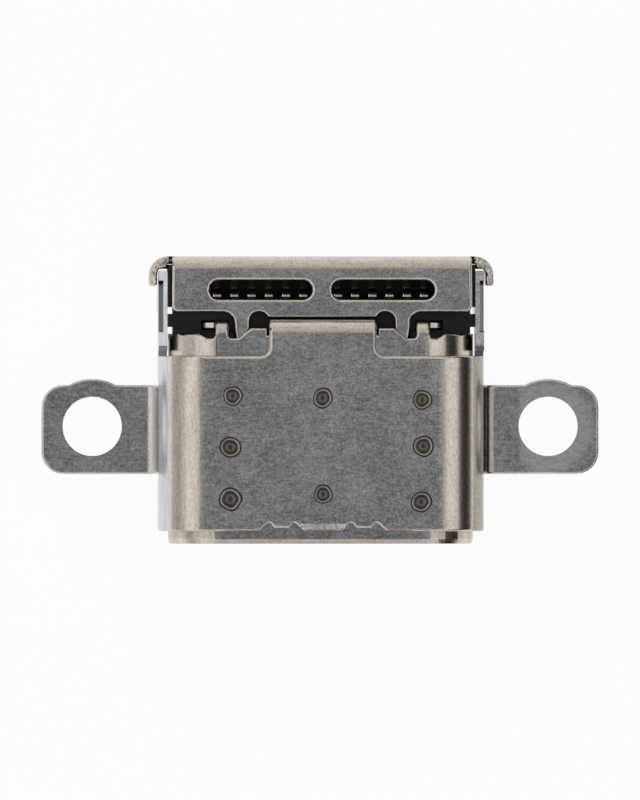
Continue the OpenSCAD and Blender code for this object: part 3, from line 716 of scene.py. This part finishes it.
@dataclass
class Stamping:
    """A steel stamping: its solid with rounded sheared edges.

    Attributes:
        node: The CAD node that it stands for.
        slot: The record's slot of its finish. It is not used.
        steel: Its finish.
        edge_mm: Width of the rounding along its sheared edges.
        sharp_deg: The angle from which an edge counts as sheared.
        wide_mm: Width of the rounding along the outer edges of its top.
        wide_from_y: Where the wide rounding starts, as a distance from the mouth.
        top_mm: How far below its highest point an edge counts as one of its top.
        room: How much room an edge needs on both sides, as a multiple of the rounding's width.
    """

    node: str
    slot: Slot
    steel: Steel
    edge_mm: float = 0.07
    sharp_deg: float = 35.0
    wide_mm: float = 0.1
    wide_from_y: float = math.inf
    top_mm: float = 0.03
    room: float = 2.2

    def build(self, nodes: dict[str, bpy.types.Object]) -> bpy.types.Object:
        """Makes the piece, and hides the node that it stands for."""
        piece = merged_copy(nodes[self.node], self.node + "_dressed")
        self.refine(piece)
        self.round_edges(piece)
        piece.data.materials.append(self.steel.material())
        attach(piece, BODY)
        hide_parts(self.node)
        return piece

    def refine(self, piece: bpy.types.Object) -> None:
        """Changes the copied solid before its edges are rounded. A plain stamping needs nothing."""

    def is_sheared(self, edge: bmesh.types.BMEdge) -> bool:
        """Says if an edge is sharp and has room for the rounding on both sides."""
        if not edge.is_manifold or edge.calc_face_angle() < math.radians(self.sharp_deg):
            return False
        room = self.room * self.edge_mm * MM
        return all(reach(face, edge) > room for face in edge.link_faces)

    def is_crease(self, edge: bmesh.types.BMEdge) -> bool:
        """Says if the shading breaks at an edge."""
        return not edge.is_manifold or edge.calc_face_angle() >= math.radians(self.sharp_deg)

    def round_edges(self, piece: bpy.types.Object) -> None:
        """Rounds the sheared edges, and keeps the faces between them flat."""
        bm = bmesh.new()
        bm.from_mesh(piece.data)
        weights = bm.edges.layers.float.new("bevel_weight_edge")
        top = max(vertex.co.z for vertex in bm.verts) - self.top_mm * MM
        for edge in bm.edges:
            height = min(vertex.co.z for vertex in edge.verts)
            behind = min(vertex.co.y for vertex in edge.verts) > self.wide_from_y * MM
            width = 1.0 if height > top and behind else self.edge_mm / self.wide_mm
            edge[weights] = width if self.is_sheared(edge) else 0.0
            edge.smooth = not self.is_crease(edge)
        for face in bm.faces:
            face.smooth = True
        bm.to_mesh(piece.data)
        bm.free()
        bevel = piece.modifiers.new("sheared_edges", "BEVEL")
        bevel.width = self.wide_mm * MM
        bevel.segments = 3
        bevel.limit_method = "WEIGHT"
        bevel.use_clamp_overlap = False
        bevel.miter_outer = "MITER_SHARP"
        bevel.loop_slide = False
        bevel.harden_normals = True
        applied(piece)


@dataclass
class Tube(Stamping):
    """The mouth tube, with a rolled lip. Its rear wings keep their edges, as its seam is acute.

    Attributes:
        wing_x: The |X| from which an edge belongs to a wing.
        wing_y: Where the wings start, as a distance from the mouth.
        lip_l: Length of the rolled lip at the mouth.
        lip_drop: How far its edge is rolled inwards.
        wall_mm: Thickness of the tube's wall.
        near_mm: How near a point has to be to the front plane, or to the lip's end, to lie on it.
    """

    wing_x: float = 4.0
    wing_y: float = 5.6
    lip_l: float = 0.13
    lip_drop: float = 0.04
    wall_mm: float = 0.25
    near_mm: float = 0.001

    def refine(self, piece: bpy.types.Object) -> None:
        """Rolls the mouth's outer edge inwards over the length of the lip."""
        bm = bmesh.new()
        bm.from_mesh(piece.data)
        everything = bm.verts[:] + bm.edges[:] + bm.faces[:]
        lip_end = Vector((0.0, self.lip_l * MM, 0.0))
        bmesh.ops.bisect_plane(
            bm, geom=everything, plane_co=lip_end, plane_no=(0.0, 1.0, 0.0), dist=EXACT_M
        )
        outer_r = max(vertex.co.z for vertex in bm.verts)
        straight = max(vertex.co.x for vertex in bm.verts) - outer_r
        for vertex in bm.verts:
            x, y, _ = vertex.co
            centre = Vector((min(max(x, -straight), straight), y, 0.0))
            away = vertex.co - centre
            if y < self.near_mm * MM and away.length > outer_r - self.wall_mm / 2 * MM:
                vertex.co -= away.normalized() * self.lip_drop * MM
        bm.to_mesh(piece.data)
        bm.free()

    def is_sheared(self, edge: bmesh.types.BMEdge) -> bool:
        """Says if an edge is sheared and isn't on a wing."""
        x, y, _ = (edge.verts[0].co + edge.verts[1].co) / 2 / MM
        return not (abs(x) > self.wing_x and y > self.wing_y) and super().is_sheared(edge)

    def is_crease(self, edge: bmesh.types.BMEdge) -> bool:
        """Says if the shading breaks at an edge, as it does where the lip starts."""
        starts_lip = all(abs(vertex.co.y / MM - self.lip_l) < self.near_mm for vertex in edge.verts)
        return starts_lip or super().is_crease(edge)


@dataclass
class WeldSpot:
    """One spot weld: a pressed ring, a scorched bowl inside it and a small pit.

    Attributes:
        x: Its place across the mouth.
        y: Its place behind the mouth.
        diameter: Diameter of the pressed ring.
        lobes: Number of the shallow lobes of its outline.
        turn: Direction of the first lobe, in radians.
    """

    x: float
    y: float
    diameter: float
    lobes: int
    turn: float


@dataclass
class WeldSpots:
    """The eight spot welds, each a disc of worked steel that is let into the bracket's top.

    Attributes:
        top: Height of the bracket's top.
        spots: The welds.
        disc_r: Radius of each disc.
        disc_depth: Thickness of each disc.
        rings: Number of rings of each disc.
        segments: Number of segments of each disc.
        centre_r: Radius of the innermost ring.
        rim: Where the disc starts to run level into the bracket, as a share of its radius.
        lobing: How far the weld's own lobes, and five more, vary its radius.
        middle: Radius of the bottom's innermost ring, as a share of the disc's.
        groove: Depth of the groove round each weld.
        sunk: How far the steel inside the groove is pressed in.
        bowl: Depth of the bowl inside the groove.
        bowl_q: Where the bowl ends, from its floor to its edge, as a share of the weld's radius.
        ripple: Height of the ripples in the bowl.
        pit: Depth of the pit at the centre.
        pit_q: Radius of the pit, as a share of the weld's.
        sharp_deg: The angle from which the shading breaks at an edge.
    """

    top: float
    spots: list[WeldSpot] = field(
        default_factory=lambda: [
            WeldSpot(-2.61, 4.27, 0.54, 3, 0.4),
            WeldSpot(-0.01, 4.21, 0.56, 2, 1.1),
            WeldSpot(2.87, 4.16, 0.54, 3, 2.2),
            WeldSpot(-2.68, 2.79, 0.59, 2, 2.9),
            WeldSpot(2.90, 2.82, 0.58, 3, 0.9),
            WeldSpot(-2.68, 1.29, 0.64, 4, 0.2),
            WeldSpot(0.00, 1.43, 0.53, 3, 1.7),
            WeldSpot(2.84, 1.21, 0.58, 2, 0.6),
        ]
    )
    disc_r: float = 0.5
    disc_depth: float = 0.08
    rings: int = 44
    segments: int = 96
    centre_r: float = 0.004
    rim: float = 0.9
    lobing: tuple[float, float] = (0.035, 0.015)
    middle: float = 0.02
    groove: float = 0.005
    sunk: float = 0.003
    bowl: float = 0.012
    bowl_q: tuple[float, float] = (0.76, 0.90)
    ripple: float = 0.006
    pit: float = 0.02
    pit_q: float = 0.16
    sharp_deg: float = 60.0

    def build(self) -> bpy.types.Object:
        """Makes all eight discs as one piece."""
        parts = [self.disc(spot) for spot in self.spots]
        counts = np.cumsum([0] + [len(points) for points, _, _, _ in parts])
        points = np.concatenate([points for points, _, _, _ in parts])
        faces = np.concatenate([quads + first for (_, quads, _, _), first in zip(parts, counts)])
        mesh = bpy.data.meshes.new("weld_spots")
        mesh.from_pydata(points * MM, [], faces)
        mesh.shade_smooth()
        for name, column in (("scorch_and_shade", 2), ("heat", 3)):
            values = np.concatenate([part[column] for part in parts]).astype(np.float32)
            mesh.attributes.new(name, "FLOAT", "POINT").data.foreach_set("value", values)
        mesh.set_sharp_from_angle(angle=math.radians(self.sharp_deg))
        piece = link("weld_spots", mesh)
        mesh.materials.append(WeldSteel("weld_steel").material())
        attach(piece, BODY)
        return piece

    def disc(self, spot: WeldSpot) -> tuple[np.ndarray, np.ndarray, np.ndarray, np.ndarray]:
        """Works out one disc: its worked top, the wall below its rim and a flat bottom.

        The top is a grid of rings and segments, and runs level into the bracket at its rim.
        Each point is placed in the weld by q, its distance from the centre as a share of the
        weld's own radius, which the lobes vary by a few hundredths.

        Args:
            spot: The weld.

        Returns:
            The points, the quads, the darkness of each point by burn and painted shade, and the
            heat tint of each point.
        """
        around = np.arange(self.segments) * (2 * math.pi / self.segments)
        radii = np.linspace(self.centre_r, self.disc_r, self.rings)
        r, angle = np.meshgrid(radii, around, indexing="ij")
        own = self.lobing[0] * np.cos(spot.lobes * (angle - spot.turn))
        five = self.lobing[1] * np.cos(5 * angle + spot.turn)
        q = 2 * r / (spot.diameter * (1 + own + five))
        level = inside(r, self.disc_r * self.rim, self.disc_r)
        height = self.height(q, angle - spot.turn) * level
        scorch_and_shade, heat = self.burns(q)
        x = spot.x + r * np.cos(angle)
        y = spot.y + r * np.sin(angle)
        top = np.stack([x, y, self.top + height], axis=-1)
        bottom = top[-1:].copy()
        bottom[..., 2] = self.top - self.disc_depth
        middle = bottom.copy()
        middle[..., :2] = (bottom[..., :2] - (spot.x, spot.y)) * self.middle + (spot.x, spot.y)
        points = np.concatenate([top, bottom, middle]).reshape(-1, 3)
        clean = np.zeros(2 * self.segments)
        return points, self.quads(), np.append(scorch_and_shade, clean), np.append(heat * level, clean)

    def height(self, q: np.ndarray, turned: np.ndarray) -> np.ndarray:
        """Works out the height of a weld's surface, from the bracket's top.

        The groove is narrow and lies at q = 1. Inside it the steel is pressed in and then falls
        into the bowl. The bowl has about three ripples, which crowd towards the first lobe, and
        ends in the pit.

        Args:
            q: Distance from the centre, as a share of the weld's radius.
            turned: Direction from the first lobe, in radians.

        Returns:
            The height.
        """
        bowl = inside(q, *self.bowl_q)
        groove = np.exp(-(((q - 1.0) / 0.06) ** 2))
        pit = np.exp(-((q / self.pit_q) ** 2))
        ripples = self.ripple * np.cos(2 * math.pi * q * (3.2 + 0.25 * np.cos(turned)))
        ripples *= bowl * smooth_step(q, 0.1, 0.25)
        sunk = self.sunk * inside(q, 0.9, 1.0)
        return ripples - self.groove * groove - self.bowl * bowl - self.pit * pit - sunk

    def burns(self, q: np.ndarray) -> tuple[np.ndarray, np.ndarray]:
        """Works out a weld's burn, sooty and banded inside, with painted shade in its black groove and
        pit.

        Args:
            q: Distance from the centre, as a share of the weld's radius.

        Returns:
            The darkness by burn and painted shade, and the heat tint, each from 0 to 1.
        """
        # The black of the groove and the pit is burn together with painted shade in those hollows.
        groove_burn_and_shade = np.exp(-(((q - 1.0) / 0.085) ** 4))
        pit = np.exp(-((q / self.pit_q) ** 2))
        dark = inside(q, 0.70, 0.80) * (1.1 + 0.3 * np.cos(2 * math.pi * 1.8 * (q - 0.6)))
        sooted = inside(q, 0.88, 0.96)
        scorch_and_shade = np.clip(0.97 * groove_burn_and_shade + 0.50 * sooted + 0.34 * dark + 0.5 * pit, 0.0, 0.97)
        heat = 0.75 * inside(q, 0.95, 1.55) * (1 - 0.5 * inside(q, *self.bowl_q))
        return scorch_and_shade, heat

    def quads(self) -> np.ndarray:
        """Joins each ring of a disc's points to the next, and the bottom's last to the top's first."""
        rows = self.rings + 2
        ring, step = np.meshgrid(np.arange(rows), np.arange(self.segments), indexing="ij")
        here = ring * self.segments
        outer = (ring + 1) % rows * self.segments
        beside = (step + 1) % self.segments
        corners = [here + step, outer + step, outer + beside, here + beside]
        return np.stack([corner.ravel() for corner in corners], axis=-1)


@dataclass
class Bracket(Stamping):
    """The outer bracket, with pockets for the discs of its spot welds.

    Attributes:
        steel: Its finish.
        welds: Its spot welds.
        pocket_mm: How far from a pocket an edge still belongs to it.
        wall_top: The |X|, Y and Z beyond which an edge belongs to a narrow wall top.
        hole_r: The radius within which an edge belongs to an ear's hole.
    """

    steel: BracketSteel
    welds: WeldSpots = field(kw_only=True)
    pocket_mm: float = 0.02
    wall_top: tuple[float, float, float] = (4.4, 5.5, 0.2)
    hole_r: float = 0.95

    def refine(self, piece: bpy.types.Object) -> None:
        """Cuts a round pocket as wide as each weld's disc, so that the disc's rim closes it."""
        cutters = []
        for spot in self.welds.spots:
            bm = bmesh.new()
            bmesh.ops.create_cone(
                bm,
                cap_ends=True,
                segments=self.welds.segments,
                radius1=self.welds.disc_r * MM,
                radius2=self.welds.disc_r * MM,
                depth=2 * self.welds.disc_depth * MM,
            )
            bmesh.ops.translate(bm, verts=bm.verts, vec=Vector((spot.x, spot.y, self.welds.top)) * MM)
            mesh = bpy.data.meshes.new("pocket")
            bm.to_mesh(mesh)
            bm.free()
            cutters.append(link("pocket", mesh))
            cut = piece.modifiers.new("pocket", "BOOLEAN")
            cut.operation = "DIFFERENCE"
            cut.object = cutters[-1]
        applied(piece)
        for cutter in cutters:
            bpy.data.objects.remove(cutter)

    def is_sheared(self, edge: bmesh.types.BMEdge) -> bool:
        """Says if an edge is sheared and isn't on a pocket, a narrow wall top or an ear's hole."""
        x, y, z = (edge.verts[0].co + edge.verts[1].co) / 2 / MM
        pocket_r = self.welds.disc_r + self.pocket_mm
        pocket = any(math.hypot(x - spot.x, y - spot.y) < pocket_r for spot in self.welds.spots)
        wall_x, wall_y, wall_z = self.wall_top
        wall_top = abs(x) > wall_x and y > wall_y and z > wall_z
        hole_x, hole_y = self.steel.hole
        hole = math.hypot(abs(x) - hole_x, y - hole_y) < self.hole_r
        return not (pocket or wall_top or hole) and super().is_sheared(edge)


@dataclass
class Moulding:
    """Nodes that keep their solids and share a finish.

    Attributes:
        nodes: The names of the nodes.
        finish: Their finish.
    """

    nodes: list[str]
    finish: Finish

    def build(self, nodes: dict[str, bpy.types.Object]) -> None:
        """Assigns the finish to the nodes."""
        material = self.finish.material()
        for name in self.nodes:
            mesh = nodes[name].data
            mesh.materials.clear()
            mesh.materials.append(material)


# ---- Studio ----


@dataclass
class Studio:
    """The floor, the soft light round the object and the camera above it.

    Lengths are in millimetres, and angles and tilts from straight up are in degrees.

    Attributes:
        floor_z: Height of the floor.
        aim: The point that the camera looks at.
        lean: How far the camera leans to the left.
        distance: Distance from the camera to the point that it looks at.
        tall: Height of the picture at that point.
        sensor_mm: Width of the camera's sensor.
        clip_mm: The nearest and farthest that the camera sees.
        floor_size: Size of the floor.
        overhead: Brightness of the dome's dim patch straight above.
        patch: Radius of that patch.
        patch_soft: How far its border reaches to either side.
        ring: Brightness of the dome beside the patch.
        ring_end: Tilt at which that brightness ends, on the left and on the right.
        ring_soft: How many degrees it takes to end.
        low: Brightness of the dome low down, on the left and on the right.
        ends: Brightness of the dome towards the front and the rear, high up and low down.
        ends_tilt: The tilts between which the one turns into the other.
        sides: The direction's |X| between which the ends give way to the sides.
    """

    floor_z: float
    aim: tuple[float, float, float] = (0.0, 4.154, -0.36)
    lean: float = 2.37
    distance: float = 600.0
    tall: float = 23.1884058
    sensor_mm: float = 36.0
    clip_mm: tuple[float, float] = (10.0, 10000.0)
    floor_size: float = 4000.0
    overhead: float = 0.20
    patch: float = 17.0
    patch_soft: float = 4.0
    ring: float = 0.95
    ring_end: tuple[float, float] = (56.0, 48.0)
    ring_soft: float = 10.0
    low: tuple[float, float] = (0.60, 0.015)
    ends: tuple[float, float] = (0.52, 0.85)
    ends_tilt: tuple[float, float] = (10.0, 90.0)
    sides: tuple[float, float] = (0.15, 0.40)

    def build(self) -> None:
        """Builds the whole studio."""
        self.floor()
        self.world()
        self.camera()
        bpy.context.scene.view_settings.view_transform = "Standard"

    def floor(self) -> None:
        """Lays the floor under the object."""
        half = self.floor_size / 2 * MM
        z = self.floor_z * MM
        corners = [(-half, -half, z), (half, -half, z), (half, half, z), (-half, half, z)]
        mesh = bpy.data.meshes.new("floor")
        mesh.from_pydata(corners, [], [(0, 1, 2, 3)])
        floor = link("floor", mesh)
        mesh.materials.append(Paper("floor_white").material())

    def world(self) -> None:
        """Lights the object from a soft dome: dim straight above, bright round that, dark low down.

        The brightness follows the tilt from straight up. Towards the sides it rises to the
        ring's brightness past the dim patch, and falls low down, more on the right than on the
        left. Towards the front and the rear it rises slowly from high up to low down.
        """
        world = bpy.data.worlds.new("studio_dome")
        bpy.context.scene.world = world
        world.use_nodes = True
        g = Graph(world.node_tree)
        direction = g.node("ShaderNodeTexCoord").outputs["Generated"]
        x = g.axis(direction, "X")
        tilt = g.math("DEGREES", g.math("ARCCOSINE", g.axis(direction, "Z")))
        sideways = g.span(g.math("ABSOLUTE", x), *self.sides)
        right = g.span(x, 0.0, 0.1)
        low, end = (g.blend(right, *pair) for pair in (self.low, self.ring_end))
        past = g.span(g.math("SUBTRACT", tilt, end), 0.0, self.ring_soft)
        side = g.math("MULTIPLY_ADD", past, g.math("SUBTRACT", low, self.ring), self.ring)
        ends = g.span(tilt, *self.ends_tilt, *self.ends)
        dome = g.blend(sideways, ends, side)
        patch = g.span(tilt, self.patch - self.patch_soft, self.patch + self.patch_soft)
        dome = g.blend(patch, self.overhead, dome)
        seen = g.node("ShaderNodeLightPath").outputs["Is Camera Ray"]
        strength = g.math("MAXIMUM", dome, seen)
        background = g.node("ShaderNodeBackground", {"Color": (1.0, 1.0, 1.0), "Strength": strength})
        g.node("ShaderNodeOutputWorld", {"Surface": background.outputs[0]})

    def camera(self) -> None:
        """Puts a long lens straight above the socket, leaning a little to its left."""
        data = bpy.data.cameras.new("camera")
        data.lens = self.sensor_mm * self.distance / self.tall
        data.sensor_width = self.sensor_mm
        data.clip_start = self.clip_mm[0] * MM
        data.clip_end = self.clip_mm[1] * MM
        camera = bpy.data.objects.new("camera", data)
        bpy.context.scene.collection.objects.link(camera)
        lean = math.radians(self.lean)
        away = Vector((-math.sin(lean), 0.0, math.cos(lean)))
        camera.location = (Vector(self.aim) + away * self.distance) * MM
        camera.rotation_euler = (0.0, -lean, 0.0)
        bpy.context.scene.camera = camera


# ---- The whole socket ----


def main() -> None:
    """Builds the pieces in order, then the studio."""
    logging.basicConfig(level=logging.INFO, format="%(message)s")
    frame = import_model()
    nodes = frame["nodes"]
    rows = [name for name in nodes if name.startswith("contact_") and not name.endswith("_block")]

    _, high = node_box("outer_bracket")
    welds = WeldSpots(top=float(high[2]))
    bracket_steel = BracketSteel(Slot.BRACKET_STEEL.value)
    parts = [
        Tube("inner_shell", Slot.TUBE_STEEL, TubeSteel(Slot.TUBE_STEEL.value)),
        Bracket("outer_bracket", Slot.BRACKET_STEEL, bracket_steel, wide_from_y=5.0, welds=welds),
        Stamping("rear_cover", Slot.COVER_STEEL, CoverSteel(Slot.COVER_STEEL.value), wide_from_y=7.0),
    ]
    pieces = [part.build(nodes) for part in parts] + [welds.build()]
    for piece in pieces:
        LOG.info("%s: %d faces", piece.name, len(piece.data.polygons))

    moulded = ["housing", "tongue_frame", "upper_contact_block", "lower_contact_block"]
    inner = ["mid_plate", "upper_ground_pad", "lower_ground_pad"]
    Moulding(moulded, Plastic(Slot.BLACK_PLASTIC.value)).build(nodes)
    Moulding(inner, Steel(Slot.INNER_STEEL.value)).build(nodes)
    Moulding(rows, Plating(Slot.CONTACT_GOLD.value)).build(nodes)

    low, _ = node_box("inner_shell")
    Studio(floor_z=float(low[2]) - FLOOR_GAP_MM).build()


if __name__ == "__main__":
    main()
